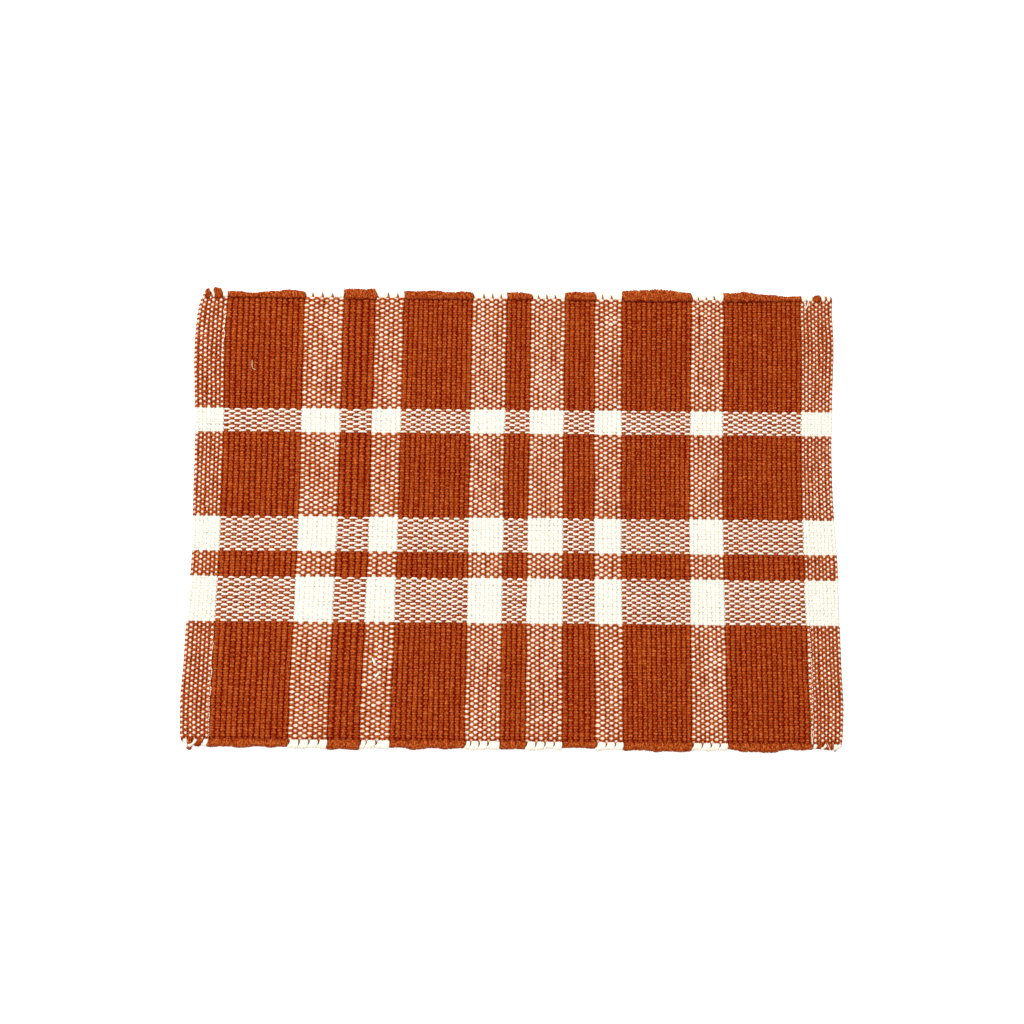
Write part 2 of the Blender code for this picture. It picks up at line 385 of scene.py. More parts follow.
# The plan's sides: of the stripes in X, of the ribs in X, and of the bands in Y
STRIPE_WARPS = np.array([stripe.warps for stripe in STRIPES])
STRIPE_FIRST = np.concatenate([[0], np.cumsum(STRIPE_WARPS)])
STRIPE_WIDTHS = np.array([stripe.width for stripe in STRIPES])
STRIPE_SIDES = WIDTH * (np.concatenate([[0.0], np.cumsum(STRIPE_WIDTHS)]) / STRIPE_WIDTHS.sum() - 0.5)
LEANS = np.array([stripe.lean * MM for stripe in STRIPES] + [0.0])
WARPS = int(STRIPE_FIRST[-1])
PICKS = sum(band.picks for band in BANDS)
BAND_FIRST = np.concatenate([[0], np.cumsum([band.picks for band in BANDS])])
BAND_DEPTHS = np.array([band.depth for band in BANDS])
BAND_SHARES = np.concatenate([[0.0], np.cumsum(BAND_DEPTHS)]) / BAND_DEPTHS.sum()
BAND_SIDES = DEPTH / 2 - FAR_ROLL - BAND_SHARES * (DEPTH - FAR_ROLL - NEAR_ROLL)


def rib_place(rib):
    """X on the loom of a place counted in ribs from the left edge."""
    return np.interp(rib, STRIPE_FIRST, STRIPE_SIDES)


def pick_place(pick):
    """Y on the loom of a place counted in picks from the far roll."""
    first_pitch = (BAND_SIDES[0] - BAND_SIDES[1]) / BANDS[0].picks
    last_pitch = (BAND_SIDES[-2] - BAND_SIDES[-1]) / BANDS[-1].picks
    pick = np.asarray(pick, float)
    inside = np.interp(pick, BAND_FIRST, BAND_SIDES)
    return inside - np.minimum(pick, 0) * first_pitch - np.maximum(pick - PICKS, 0) * last_pitch


def within(firsts, place):
    """The number of the interval between `firsts` that a place lies in."""
    return np.clip(np.searchsorted(firsts, place, side="right") - 1, 0, len(firsts) - 2)


def side_sway(x, y):
    """How far a point is carried sideways by the waves of the side edges."""
    knots = [sway.y * MM for sway in SWAYS]
    left = curve_through(knots, [sway.left * MM for sway in SWAYS], y)
    right = curve_through(knots, [sway.right * MM for sway in SWAYS], y)
    from_left = x + WIDTH / 2
    from_right = WIDTH / 2 - x
    return right * np.exp(-from_right / SWAY_REACH) - left * np.exp(-from_left / SWAY_REACH)


def off_loom(x0, y0):
    """Where a point of the loom's plan lies once the cloth is off the loom."""
    lean = np.interp(x0, STRIPE_SIDES, LEANS)
    bow = -BOW * np.clip(x0 / BOW_REACH, -1, 1) * np.cos(2 * np.pi * y0 / DEPTH)
    x = x0 + lean * y0 / DEPTH + bow + side_sway(x0, y0)
    return x, y0 + WEFT_SLOPE * x


def corner_cut(x, end):
    """How much a rounded corner takes off the end of the warp at x."""
    cut = np.zeros_like(x)
    for side, inset in (("left", x + WIDTH / 2), ("right", WIDTH / 2 - x)):
        radius = CORNERS[side, end]
        inset = np.clip(inset, 0, radius)
        cut = cut + radius - np.sqrt(radius ** 2 - (radius - inset) ** 2)
    return cut


def roll_width(x0, end):
    """The roll's width at x0."""
    stand = np.array([getattr(stripe, end) * MM for stripe in STRIPES])[within(STRIPE_SIDES, x0)]
    lump = ROLL_LUMP * np.sin(2 * np.pi * x0 / ROLL_LUMP_LENGTH + ROLL_LUMP_PHASE[end])
    base = FAR_ROLL if end == "far" else NEAR_ROLL
    return base + stand + lump - corner_cut(x0, end)


def plan_middle():
    """The middle of the box that the solid's own points fill, before it is moved to the origin."""
    columns = []
    for number, stripe in enumerate(STRIPES):
        columns += list(STRIPE_FIRST[number] + np.arange(2 * stripe.warps) / 2)
    x0 = rib_place(np.array(columns + [WARPS]))
    rows = [BAND_SIDES[0]]
    for number in range(len(BANDS)):
        steps = END_BAND_STEPS if number in (0, len(BANDS) - 1) else 1
        for step in range(1, steps + 1):
            rows.append(BAND_SIDES[number] + step / steps * (BAND_SIDES[number + 1] - BAND_SIDES[number]))
    corners = []
    for y0 in rows:
        corners.append(off_loom(x0, np.full_like(x0, y0)))
    for end, sign, base in (("far", 1, FAR_ROLL), ("near", -1, NEAR_ROLL)):
        beyond = roll_width(x0, end) - base
        for share, y0 in ((0.5, DEPTH / 2 - base * (1 - ROLL_CREST)), (1.0, DEPTH / 2)):
            x, y = off_loom(x0, np.full_like(x0, sign * y0))
            corners.append((x, y + sign * share * beyond))
    points = np.array(corners)
    low = points.min(axis=(0, 2))
    high = points.max(axis=(0, 2))
    return (low + high) / 2


PLAN_MIDDLE = plan_middle()


def laid(x0, y0, z, outward=0.0):
    """Points of the plan as they lie on the floor, `outward` along Y past their place."""
    from_corner = np.maximum(x0 + WIDTH / 2, 0) / DRAW_REACH.x
    from_corner = from_corner + np.maximum(BAND_SIDES[0] - y0, 0) / DRAW_REACH.y
    x, y = off_loom(x0 + FAR_LEFT_DRAW * np.exp(-from_corner), y0)
    x, y, z = np.broadcast_arrays(x - PLAN_MIDDLE[0], y + outward - PLAN_MIDDLE[1], z)
    return np.stack([x, y, z], axis=-1)


# ---------------------------------------------------------------- chance
# How many times its size a draw may be
MOST_JITTER = 2.5
MOST_CHANCE = 2.0


def jitter(seed, size, shape):
    """Independent draws for a yarn's crossings."""
    draws = np.random.default_rng(seed).normal(size=shape)
    return size * np.clip(draws, -MOST_JITTER, MOST_JITTER)


def wavering(seed, size, length, rows, columns):
    """For each row a smooth random line over the columns, which wavers over about `length` of them."""
    knots = int(np.ceil(columns / length)) + 3
    values = np.random.default_rng(seed).normal(size=(rows, knots))
    at = np.arange(columns) / length + 1
    low = at.astype(int)
    t = at - low
    t = t * t * (3 - 2 * t)
    return size * (values[:, low] * (1 - t) + values[:, low + 1] * t)


# ---------------------------------------------------------------- objects and tubes
def linked(name, data):
    """A new object of the scene."""
    made = bpy.data.objects.new(name, data)
    bpy.context.scene.collection.objects.link(made)
    return made


# On a bake map each tube fills a cell but for these margins, and its two ends lie in them
MARGIN_ALONG = 0.02
MARGIN_AROUND = 0.08
END_HALF_LENGTH = 0.006
END_HALF_HEIGHT = 0.3


def unit(vectors):
    return vectors / np.linalg.norm(vectors, axis=-1, keepdims=True)


def ring_frames(centres):
    """Two directions square to the yarn at every ring: one that points up, and one sideways."""
    tangent = unit(np.gradient(centres, axis=1))
    rise = unit(np.array([0.0, 0.0, 1.0]) - tangent * tangent[..., 2:])
    return rise, np.cross(rise, tangent)


class Tubes:
    """Closed tubes of one piece, gathered group by group and then made into a mesh."""

    def __init__(self):
        self.groups = []

    def add(self, centres, half_height, half_width, tint, flat_top=True):
        """Yarns with the same number of rings: centres is yarns x rings x 3.

        `tint` is 1 where the yarn lies among yarns of the other colour, whose bounced light its
        material paints in, and `flat_top` turns a side of the yarn up rather than a corner.
        """
        shape = centres.shape[:2]
        half_height = np.broadcast_to(half_height, shape)[..., None, None]
        half_width = np.broadcast_to(half_width, shape)[..., None, None]
        rise, side = ring_frames(centres)
        turn = 2 * np.pi * (np.arange(SIDES) + (0.5 if flat_top else 0.0)) / SIDES
        across = np.cos(turn)[:, None] * half_height * rise[:, :, None]
        across = across + np.sin(turn)[:, None] * half_width * side[:, :, None]
        self.add_rings(centres[:, :, None] + across, centres, tint)

    def add_rings(self, rings, centres, tint):
        """Tubes given by their rings' own points: tubes x rings x points x 3."""
        steps = np.linalg.norm(np.diff(centres, axis=1), axis=-1)
        length = np.concatenate([np.zeros((len(rings), 1)), np.cumsum(steps, axis=1)], axis=1)
        self.groups.append((rings, length, np.broadcast_to(tint, rings.shape[:2])))

    def make(self, name, material, columns=1):
        """The mesh object.  `columns` is how many tubes lie side by side on its bake map."""
        corners, loops, verts = [], [], []
        yarn_map, bake_map, tints = [], [], []
        tubes = sum(len(rings) for rings, _, _ in self.groups)
        rows = -(-tubes // columns)
        first_vert = 0
        first_tube = 0
        for rings, length, tint in self.groups:
            count, along, sides, _ = rings.shape
            tints.append(np.repeat(tint.reshape(-1), sides))
            index = first_vert + np.arange(count * along * sides).reshape(count, along, sides)
            after = np.roll(index, -1, axis=2)
            verts.append(rings.reshape(-1, 3))
            faces = np.stack([index[:, :-1], index[:, 1:], after[:, 1:], after[:, :-1]], axis=-1)
            corners.append(faces.reshape(-1))
            loops.append(np.full(count * (along - 1) * sides, 4))

            tube = first_tube + np.arange(count)
            row = (tube // columns)[:, None, None]
            column = (tube % columns)[:, None, None]
            turn = np.arange(sides + 1) / sides
            u = np.broadcast_to(length[:, :, None] / MM, (count, along, sides + 1))
            v = np.broadcast_to(turn, u.shape)
            bake_u = (column + MARGIN_ALONG + (1 - 2 * MARGIN_ALONG) * u / u[:, -1:, :]) / columns
            bake_v = (row + MARGIN_AROUND + (1 - 2 * MARGIN_AROUND) * turn) / rows
            bake_v = np.broadcast_to(bake_v, u.shape)
            for store, grid in ((yarn_map, (u, v)), (bake_map, (bake_u, bake_v))):
                pair = np.stack(grid, axis=-1)
                around = [pair[:, :-1, :-1], pair[:, 1:, :-1], pair[:, 1:, 1:], pair[:, :-1, 1:]]
                store.append(np.stack(around, axis=3).reshape(-1, 2))

            angle = 2 * np.pi * np.arange(sides) / sides
            for ring, place, order in ((0, MARGIN_ALONG / 2, 1), (-1, 1 - MARGIN_ALONG / 2, -1)):
                corners.append(index[:, ring, ::order].reshape(-1))
                loops.append(np.full(count, sides))
                cap_u = (column[:, :, 0] + place + END_HALF_LENGTH * np.cos(angle)) / columns
                cap_v = (row[:, :, 0] + 0.5 + END_HALF_HEIGHT * np.sin(angle)) / rows
                bake_map.append(np.stack([cap_u, cap_v], axis=-1).reshape(-1, 2))
                end_u = np.broadcast_to(u[:, ring, :1], cap_u.shape)
                end_v = np.broadcast_to(0.5 + 0.5 * np.sin(angle), cap_u.shape)
                yarn_map.append(np.stack([end_u, end_v], axis=-1).reshape(-1, 2))
            first_vert += count * along * sides
            first_tube += count

        corners = np.concatenate(corners).astype(np.int32)
        loops = np.concatenate(loops)
        starts = (np.cumsum(loops) - loops).astype(np.int32)
        points = np.concatenate(verts).astype(np.float32)
        mesh = bpy.data.meshes.new(name)
        mesh.vertices.add(len(points))
        mesh.vertices.foreach_set("co", points.reshape(-1))
        mesh.loops.add(len(corners))
        mesh.loops.foreach_set("vertex_index", corners)
        mesh.polygons.add(len(starts))
        mesh.polygons.foreach_set("loop_start", starts)
        for label, store in (("yarn", yarn_map), ("OFBake", bake_map)):
            layer = mesh.uv_layers.new(name=label)
            layer.uv.foreach_set("vector", np.concatenate(store).astype(np.float32).reshape(-1))
        # 1 where the material paints in light bounced from yarns of the other colour
        mixed_in = mesh.attributes.new("mixed_in", "FLOAT", "POINT")
        mixed_in.data.foreach_set("value", np.concatenate(tints).astype(np.float32))
        mesh.update(calc_edges=True)
        mesh.shade_smooth()
        mesh.materials.append(material)
        return linked(name, mesh)


# ---------------------------------------------------------------- materials
class Graph:
    """A material's nodes, added by short calls."""

    def __init__(self, name):
        self.material = bpy.data.materials.new(name)
        self.material.use_nodes = True
        self.tree = self.material.node_tree
        self.shader = self.tree.nodes["Principled BSDF"]

    def fill(self, node, inputs):
        """Sets a node's inputs to plain values, or links other nodes' outputs to them."""
        for name, value in inputs.items():
            if isinstance(value, bpy.types.NodeSocket):
                self.tree.links.new(value, node.inputs[name])
            else:
                node.inputs[name].default_value = value

    def node(self, kind, inputs, **values):
        """The outputs of a new node."""
        made = self.tree.nodes.new(kind)
        for key, value in values.items():
            setattr(made, key, value)
        self.fill(made, inputs)
        return made.outputs

    def maths(self, operation, *values):
        return self.node("ShaderNodeMath", dict(enumerate(values)), operation=operation)[0]

    def mixed(self, share, first, second):
        inputs = {"Factor": share, "A": first, "B": second}
        return self.node("ShaderNodeMix", inputs, data_type="RGBA")["Result"]

    def noise(self, vector, scale, detail=2.0, roughness=0.5):
        inputs = {"Vector": vector, "Scale": scale, "Detail": detail, "Roughness": roughness}
        return self.node("ShaderNodeTexNoise", inputs)["Fac"]

    def ramp(self, value, low, high, to_high=1.0):
        """0 where the value is `low`, and `to_high` where it is `high`."""
        inputs = {"Value": value, "From Min": low, "From Max": high, "To Max": to_high}
        return self.node("ShaderNodeMapRange", inputs)["Result"]

    def scaled(self, vector, scale):
        return self.node("ShaderNodeMapping", {"Vector": vector, "Scale": scale})["Vector"]

    def split(self, vector):
        return list(self.node("ShaderNodeSeparateXYZ", {0: vector}))

    def joined(self, *values):
        return self.node("ShaderNodeCombineXYZ", dict(enumerate(values)))[0]


PLY_LENGTH = 1.25           # millimetres along the yarn from ply to ply
PLIES = 3.0
PLY_RELIEF = 0.35           # against the fibres'
FIBRES = (5.0, 0.35)        # how finely they are read across the plies and along them
FIBRE_SCALE = 2.4
RELIEF_STRENGTH = 0.6
RELIEF_DEPTH = 0.25 * MM
DRIFT = (0.30, 0.70)        # from dark to light
STREAKS = (2.0, 3.0, 0.06)  # of a roll's colour: across its strands, round it and along it
STREAK_DRIFT = (0.42, 0.58)
FLECKS = (0.50, 0.66)       # from none to the most
DEEP_SPECKS = (0.49, 0.34)
MOST_SPECKS = 0.90
PAINTED_SHADE_FROM = 2.45 * MM       # heights above the floor where painted shade starts and where it is full
PAINTED_SHADE_TO = 1.55 * MM
# Painted shade in a roll's crease with the cloth: the noise that makes its edge ragged, and where round
# the roll it starts and where it is full
CREASE_SCALE = 450.0
CREASE_WAVE = 0.30          # shares of the way round a roll
CREASE_FROM = 0.42
CREASE_TO = 0.28


def cotton(name, dye, stretch, specks, tint=None, tinted=None):
    """Soft plied cotton.

    `stretch` and `specks` scale the places that its colour and its single fibres are read at,
    along X, Y and Z.  `tinted` is its colour among yarns of the other colour, painted with the
    light that bounces off them, and `tint` says how far it takes this on, on top and in the
    painted shade deep down.  A roll's cotton has no `stretch`: its colour runs along its strands,
    and painted shade darkens it in the crease, where the roll meets the cloth.
    """
    graph = Graph(name)
    yarn_map = graph.node("ShaderNodeUVMap", {}, uv_map="yarn")["UV"]
    place = graph.node("ShaderNodeTexCoord", {})["Object"]

    # Plies: ridges that wind round the yarn, with finer fibres along them
    along, around, _ = graph.split(yarn_map)
    phase = graph.maths("ADD", graph.maths("MULTIPLY", along, 1 / PLY_LENGTH),
                        graph.maths("MULTIPLY", around, PLIES))
    ply = graph.maths("SINE", graph.maths("MULTIPLY", phase, 2 * np.pi))
    winding = graph.joined(graph.maths("MULTIPLY", phase, FIBRES[0]),
                           graph.maths("MULTIPLY", along, FIBRES[1]), around)
    fibre = graph.noise(winding, FIBRE_SCALE, detail=3.0, roughness=0.65)
    height = graph.maths("ADD", graph.maths("MULTIPLY", ply, PLY_RELIEF), fibre)
    relief = {"Strength": RELIEF_STRENGTH, "Distance": RELIEF_DEPTH, "Height": height}
    bump = graph.node("ShaderNodeBump", relief)["Normal"]

    # Colour: each yarn takes its own depth of dye, which drifts along it, with specks
    # of single fibres; and painted shade darkens it deep between the yarns, where little light comes back
    if stretch:
        drift = graph.ramp(graph.noise(graph.scaled(place, stretch), 1.0), *DRIFT)
        sunk = graph.ramp(graph.split(place)[2], PAINTED_SHADE_FROM, tint.sunk_to if tint else PAINTED_SHADE_TO)
    else:
        strand = graph.maths("ADD", graph.maths("MULTIPLY", along, MM / STRAND_PITCH),
                             graph.maths("MULTIPLY", around, 2 * STRAND_SLANT))
        streak = graph.joined(*(graph.maths("MULTIPLY", value, scale)
                                for value, scale in zip((strand, around, along), STREAKS)))
        drift = graph.ramp(graph.noise(streak, 1.0, detail=3.0, roughness=0.6), *STREAK_DRIFT)
        # Painted shade on the roll's inner side, in its crease with the cloth, with a ragged edge
        ragged = graph.maths("MULTIPLY_ADD", graph.noise(place, CREASE_SCALE), CREASE_WAVE, around)
        sunk = graph.ramp(ragged, CREASE_FROM, CREASE_TO)
    speck = graph.noise(graph.scaled(place, specks), 1.0, roughness=0.7)
    flecked = graph.ramp(speck, *FLECKS, to_high=MOST_SPECKS)
    deepened = graph.ramp(speck, *DEEP_SPECKS, to_high=MOST_SPECKS)

    def on_top(of):
        colour = graph.mixed(drift, of.dark, of.light)
        colour = graph.mixed(flecked, colour, of.fleck)
        return graph.mixed(deepened, colour, of.deep)

    colour = on_top(dye)
    painted_shade_colour = dye.sunk
    # Among yarns of the other colour, painted light bounced from them, on top and in the painted shade
    if tint:
        mixed_in = graph.node("ShaderNodeAttribute", {}, attribute_name="mixed_in")["Fac"]
        colour = graph.mixed(graph.maths("MULTIPLY", mixed_in, tint.top), colour, on_top(tinted))
        painted_shade_colour = graph.mixed(graph.maths("MULTIPLY", mixed_in, tint.deep), dye.sunk, tinted.sunk)
    graph.fill(graph.shader, {
        "Base Color": graph.mixed(sunk, colour, painted_shade_colour),
        "Roughness": 0.92,
        "Specular IOR Level": 0.01,
        "Normal": bump,
    })
    return graph.material


# The colours that a yarn drifts between, of its lighter and deeper specks, and its painted shade deep in
# the cloth
DyeAndPaintedShade = namedtuple("DyeAndPaintedShade", "dark light fleck deep sunk")
DYES_AND_PAINTED_LIGHT = {
    "rust": DyeAndPaintedShade((0.235, 0.019, 0.0015, 1.0), (0.36, 0.060, 0.006, 1.0), (0.525, 0.148, 0.036, 1.0),
                (0.18, 0.006, 0.0003, 1.0), (0.165, 0.004, 0.0001, 1.0)),
    # Rust among white: lighter, with painted light bounced from the white yarns
    "rust among white": DyeAndPaintedShade((0.30, 0.045, 0.007, 1.0), (0.42, 0.095, 0.020, 1.0), (0.56, 0.20, 0.07, 1.0),
                            (0.25, 0.030, 0.004, 1.0), (0.24, 0.030, 0.005, 1.0)),
    # A darker copy of the rust for the rolled ends: painted shade that holds down the light which the
    # rolls catch, as they stand up from the cloth
    "rolled rust": DyeAndPaintedShade((0.18, 0.014, 0.0012, 1.0), (0.315, 0.054, 0.006, 1.0), (0.50, 0.140, 0.036, 1.0),
                       (0.13, 0.006, 0.0003, 1.0), (0.135, 0.004, 0.0001, 1.0)),
    "white": DyeAndPaintedShade((0.70, 0.665, 0.575, 1.0), (0.73, 0.695, 0.605, 1.0), (0.76, 0.735, 0.655, 1.0),
                 (0.68, 0.64, 0.555, 1.0), (0.715, 0.675, 0.585, 1.0)),
    # White among rust: pinker, with painted light bounced from the rust yarns, and its painted shade
    # red-brown
    "white among rust": DyeAndPaintedShade((0.70, 0.56, 0.42, 1.0), (0.80, 0.70, 0.575, 1.0), (0.85, 0.785, 0.70, 1.0),
                            (0.60, 0.41, 0.265, 1.0), (0.34, 0.075, 0.012, 1.0)),
    "mixed": DyeAndPaintedShade((0.30, 0.045, 0.010, 1.0), (0.38, 0.080, 0.020, 1.0), (0.44, 0.12, 0.035, 1.0),
                 (0.26, 0.030, 0.005, 1.0), (0.38, 0.080, 0.025, 1.0)),
}
# How the colour is stretched along the yarns, by the way that they run
Way = namedtuple("Way", "stretch specks")
WAYS = {
    "weft": Way((45.0, 420.0, 200.0), (650.0, 1500.0, 1000.0)),
    "warp": Way((240.0, 45.0, 200.0), (1500.0, 650.0, 1000.0)),
    "roll": Way(None, (1000.0, 560.0, 1000.0)),
}
# How much painted light, bounced from the other colour around it, a yarn takes on, on top and deep down,
# and the height below which it is all painted shade
Tint = namedtuple("Tint", "top deep sunk_to", defaults=(PAINTED_SHADE_TO,))
TINTS = {
    ("white", "weft"): Tint(0.25, 0.50),
    ("white", "warp"): Tint(1.0, 1.0, 1.87 * MM),
    ("white", "roll"): Tint(0.15, 0.30),
    ("rust", "warp"): Tint(0.1, 0.25),
}
TINTED = {"white": DYES_AND_PAINTED_LIGHT["white among rust"], "rust": DYES_AND_PAINTED_LIGHT["rust among white"]}

COTTON = {}
for way in WAYS:
    for yarn in ("rust", "white"):
        dye = DYES_AND_PAINTED_LIGHT["rolled rust" if (yarn, way) == ("rust", "roll") else yarn]
        COTTON[yarn, way] = cotton(f"{yarn}_{way}_cotton", dye, *WAYS[way],
                                   TINTS.get((yarn, way)), TINTED[yarn])

# ---------------------------------------------------------------- the weave
ALL_PICKS = np.arange(-HEADING_PICKS, PICKS + HEADING_PICKS)
RIB_NUMBERS = np.arange(WARPS)
# Where each rib and pick cross on the loom's plan: ribs x picks
CROSS_X = rib_place(RIB_NUMBERS + 0.5)[:, None] + wavering(*RIB_WAVER, WARPS, len(ALL_PICKS))
CROSS_Y = pick_place(ALL_PICKS + 0.5) + wavering(*PICK_WAVER, len(ALL_PICKS), WARPS).T
WEFT_ON_TOP = (RIB_NUMBERS[:, None] + ALL_PICKS[None, :]) % 2 == 1
RIB_KINDS = np.repeat(["border"] + [stripe.yarn for stripe in STRIPES[1:-1]] + ["border"], STRIPE_WARPS)
PICK_YARNS = np.pad(np.repeat([band.yarn for band in BANDS], [band.picks for band in BANDS]),
                    HEADING_PICKS, mode="edge")

# Each rib's pitch, as a share of the usual one
RIB_PITCHES = np.diff(rib_place(np.arange(WARPS + 1))) / USUAL_RIB
# Where the white ribs lie closer than usual, the rust floats over them are thinner
THINNING = np.where(RIB_KINDS == "white", np.clip(RIB_PITCHES, 0.0, 1.0) ** CLOSE_THINNING, 1.0)

SINKS = np.zeros(len(ALL_PICKS))
SINKS[-len(LAST_PICKS_SINK):] = LAST_PICKS_SINK


def along_ribs(values, place):
    """Columns of values, one for each rib, read at places counted in ribs' middles."""
    low = np.clip(np.floor(place).astype(int), 0, WARPS - 2)
    share = place - low
    return values[:, low] * (1 - share) + values[:, low + 1] * share


# The rings of a pick: `place` in ribs, `level` 1 for a float's shoulder, -1 below a rib
WeftRing = namedtuple("WeftRing", "place level half_height half_width tint")


def weft_path(yarn, first_is_up):
    """The rings of a pick, from rib to rib."""
    rings = []
    for rib in range(WARPS):
        over = FLOATS[yarn, RIB_KINDS[rib]]
        # 1 where the pick lies among ribs of the other colour, whose bounced light its material paints in
        mixed_in = float((RIB_KINDS[rib] == "rust") != (yarn == "rust"))
        thinning = THINNING[rib] if yarn == "rust" else 1.0
        size = (WEFT_HALF_HEIGHT, over.half_width * thinning * MM, mixed_in)
        if (rib % 2 == 0) == first_is_up:
            rings.append(WeftRing(rib - over.shoulder, 1, *size))
            rings.append(WeftRing(rib + over.shoulder, 1, *size))
        else:
            rings.append(WeftRing(rib, -1, *size))
        if rib < WARPS - 1:
            if RIB_KINDS[rib + 1] == "rust":
                over = FLOATS[yarn, "rust"]
                mixed_in = float(yarn == "white")
            rings.append(WeftRing(rib + 0.5, -over.drop, over.groove_half_height * MM,
                                  over.groove_half_width * MM, mixed_in))
    return rings


def pick_turns(picks, side, y, up):
    """The rings of the turns at one side edge, from the cloth outwards: x, y, rise and half width."""
    edge, sign = (-WIDTH / 2, -1) if side == "left" else (WIDTH / 2, 1)
    runs_on = picks % 2 == (1 if side == "left" else 0)     # into the next pick, nearer the diner
    pitch = pick_place(picks + 0.5) - pick_place(picks + 1.5)
    toward = np.where(runs_on, -pitch, pitch)
    toward = np.where((picks >= 0) & (picks < PICKS), toward, 0.0)
    inset, share, rise, half_width = np.array(TURNS["up" if up else "down"]).T
    y = y[:, None] + share * toward[:, None]
    x = edge - sign * inset * MM
    return [np.broadcast_to(values, y.shape) for values in (x, y, rise, half_width * MM)]


def weft_piece(name, yarn, picks):
    """The picks of one band, each with its turns at the side edges."""
    tubes = Tubes()
    for parity in (0, 1):
        chosen = picks[picks % 2 == parity]
        rows = chosen + HEADING_PICKS
        first_is_up = bool(WEFT_ON_TOP[0, rows[0]])
        path = weft_path(yarn, first_is_up)
        # The first and last shoulders give way to the turns
        path = path[1:] if first_is_up else path[:-1]
        place, level, half_height, half_width, tint = np.array(path).T
        x = along_ribs(CROSS_X[:, rows].T, place)
        y = along_ribs(CROSS_Y[:, rows].T, place)
        y = y - np.where(level < 1, ARCH, 0.0)
        rise = level + jitter(WEFT_RISE.seed + parity, WEFT_RISE.size, x.shape)
        y = y + jitter(WEFT_SHIFT.seed + parity, WEFT_SHIFT.size, x.shape)
        left = pick_turns(chosen, "left", y[:, 0], first_is_up)
        right = pick_turns(chosen, "right", y[:, -1], not first_is_up)
        x, y, rise, half_width = (
            np.concatenate([a[:, ::-1], b, c], axis=1)
            for a, b, c in zip(left, (x, y, rise, np.tile(half_width, (len(chosen), 1))), right))
        ends = left[0].shape[1]
        half_height = np.pad(half_height, ends, constant_values=TURN_HALF_HEIGHT)
        tint = np.pad(tint, ends)
        thick = 1 + wavering(WEFT_THICKNESS.seed + parity, *WEFT_THICKNESS[1:], *x.shape)
        thick = thick + jitter(WEFT_UNEVENNESS.seed + parity, WEFT_UNEVENNESS.size, x.shape)
        z = MIDDLE + WEFT_SWING * rise - SINKS[rows][:, None]
        centres = laid(x, y, np.maximum(z, half_height * thick))
        tubes.add(centres, half_height * thick, half_width * thick, tint)
    return tubes.make(name, COTTON[yarn, "weft"])


def warp_piece(name, yarn):
    """All ribs of one colour."""
    ribs = np.concatenate([np.arange(STRIPE_FIRST[n], STRIPE_FIRST[n + 1])
                           for n, stripe in enumerate(STRIPES) if stripe.yarn == yarn])
    x = CROSS_X[ribs]
    y = CROSS_Y[ribs]
    top = np.where(WEFT_ON_TOP[ribs], -1.0, 1.0)
    z = MIDDLE + WARP_SWING * (top + jitter(*WARP_RISE, x.shape)) - SINKS
    z[:, [0, -1]] = MIDDLE - HEADING_DEPTH
    thick = 1 + wavering(*WARP_THICKNESS, *x.shape) + jitter(*WARP_UNEVENNESS, x.shape)
    wide = np.clip(RIB_PITCHES[ribs], *RIB_WIDENING)[:, None]
    sizes = MM * np.array([[RIBS[kind, pick] for pick in PICK_YARNS] for kind in RIB_KINDS[ribs]])
    half_height = sizes[..., 0] * thick
    half_width = sizes[..., 1] * wide * thick
    centres = laid(x, y, np.maximum(z, half_height))
    tubes = Tubes()
    # Among picks of the other colour its material paints in their bounced light
    tubes.add(centres, half_height, half_width, PICK_YARNS != yarn, flat_top=False)
    return tubes.make(name, COTTON[yarn, "warp"])


# ---------------------------------------------------------------- the rolled ends
# A lobe of a rolled end: places and `lean` in ribs, reach and height as shares of the roll's
Lobe = namedtuple("Lobe", "yarn first last lean reach height form")


def lobes_of(end):
    """The warp ends' lobes along one edge."""
    notches = np.arange(0, WARPS, LOBE_RIBS) + NOTCHES[end]
    lobes = []
    for side in ("left", "right"):
        lobes += [Lobe(*corner, CORNER_FORM) for corner in CORNER_LOBES[side, end]]
    for number in range(1, len(STRIPES) - 1):
        yarn = STRIPES[number].yarn
        first = STRIPE_FIRST[number] + STRIPE_NOTCH
        last = STRIPE_FIRST[number + 1] + STRIPE_NOTCH
        if number == 1:
            first = CORNER_LOBES["left", end][-1].last
        if number == len(STRIPES) - 2:
            last = CORNER_LOBES["right", end][0].first
        inner = notches[(notches > first + LEAST_LOBE) & (notches < last - LEAST_LOBE)]
        sides = [first, *inner, last]
        form = LOBE_FORMS[yarn, end]
        for a, b in zip(sides[:-1], sides[1:]):
            lobes.append(Lobe(yarn, a, b, form.lean, 1.0, form.height, form))
    return lobes


